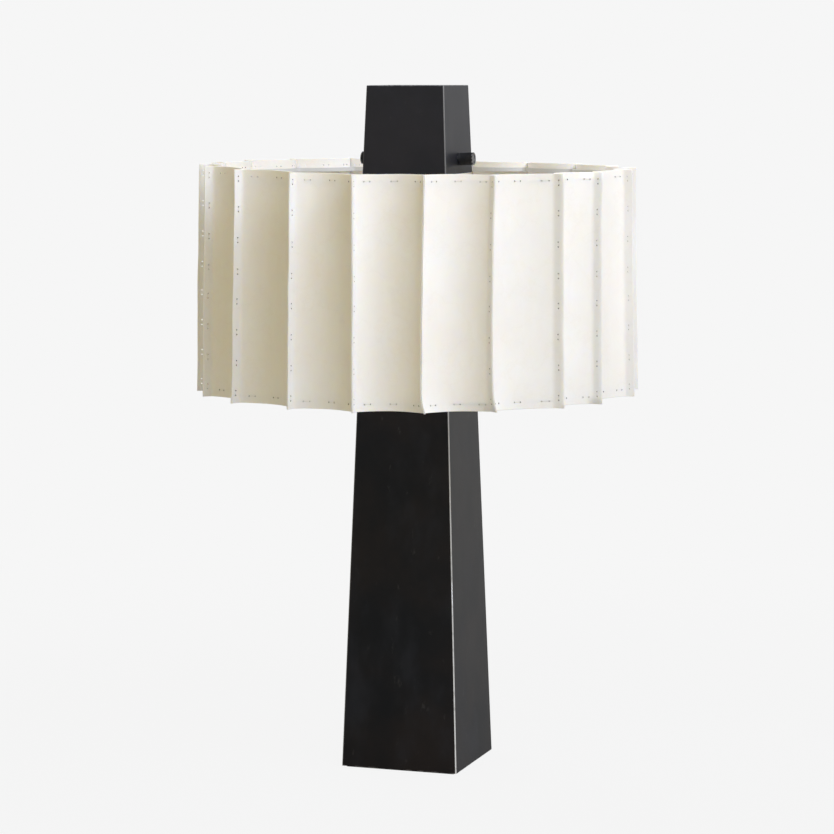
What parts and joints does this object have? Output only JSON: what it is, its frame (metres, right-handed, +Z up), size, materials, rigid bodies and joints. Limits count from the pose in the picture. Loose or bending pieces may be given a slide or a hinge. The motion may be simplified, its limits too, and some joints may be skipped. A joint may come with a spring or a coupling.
{
  "type": "table lamp",
  "caption": "Table lamp: tapered square column of blackened metal, fluted drum shade of laced parchment panels on a spider, and a matching cap with turn knobs.",
  "frame": {"origin": "on the lamp's axis, on the surface that it stands on", "axes": "+Z up the lamp, -Y out of the front face, +X out of the face with the right knob"},
  "size_m": [0.4626, 0.4626, 0.711],
  "materials": {
    "blackened_steel": "satin, blackened, rubbed bright along the edges",
    "parchment": "matt, cream, faintly mottled",
    "white_frame": "satin, off-white coat",
    "felt": "matt, napped",
    "ballast_iron": "as cast",
    "bright_steel": "zinc plated",
    "black_moulding": "moulded, matt",
    "holder_brass": "bright",
    "bulb_metal": "rolled thread",
    "bulb_glass": "frosted"
  },
  "bodies": {
    "lamp": {"ballast_block": "ballast_iron", "bottom_ring": "white_frame", "cap_bracket": "bright_steel", "cap_shell": "blackened_steel", "column_shell": "blackened_steel", "cord_bushing": "black_moulding", "foot_pad": "felt", "left_bulb_cap": "bulb_metal", "left_bulb_globe": "bulb_glass", "left_centre_contact": "holder_brass", "left_screw_shell": "holder_brass", "left_socket_cap": "black_moulding", "left_socket_shell": "black_moulding", "left_switch_body": "black_moulding", "pipe_nuts": "bright_steel", "pipe_washers": "bright_steel", "right_bulb_cap": "bulb_metal", "right_bulb_globe": "bulb_glass", "right_centre_contact": "holder_brass", "right_screw_shell": "holder_brass", "right_socket_cap": "black_moulding", "right_socket_shell": "black_moulding", "right_switch_body": "black_moulding", "riser_pipe": "bright_steel", "shade_panel_01": "parchment", "shade_panel_02": "parchment", "shade_panel_03": "parchment", "shade_panel_04": "parchment", "shade_panel_05": "parchment", "shade_panel_06": "parchment", "shade_panel_07": "parchment", "shade_panel_08": "parchment", "shade_panel_09": "parchment", "shade_panel_10": "parchment", "shade_panel_11": "parchment", "shade_panel_12": "parchment", "shade_panel_13": "parchment", "shade_panel_14": "parchment", "shade_panel_15": "parchment", "shade_panel_16": "parchment", "shade_panel_17": "parchment", "shade_panel_18": "parchment", "shade_panel_19": "parchment", "shade_panel_20": "parchment", "socket_bracket": "bright_steel", "socket_nipples": "bright_steel", "spider_arms": "white_frame", "spider_hub": "white_frame", "switch_ring_nuts": "bright_steel", "top_ring": "white_frame"},
    "left_turning_knob": {"left_knob": "blackened_steel", "left_switch_shaft": "bright_steel"},
    "right_turning_knob": {"right_knob": "blackened_steel", "right_switch_shaft": "bright_steel"}
  },
  "joints": [
    {"name": "left_knob_turn", "type": "hinge", "parent": "lamp", "child": "left_turning_knob", "pos_m": [-0.04468, 0, 0.635], "axis": [-0.9993, 0, 0.0379], "continuous": true},
    {"name": "right_knob_turn", "type": "hinge", "parent": "lamp", "child": "right_turning_knob", "pos_m": [0.04468, 0, 0.635], "axis": [0.9993, 0, 0.0379], "continuous": true}
  ]
}
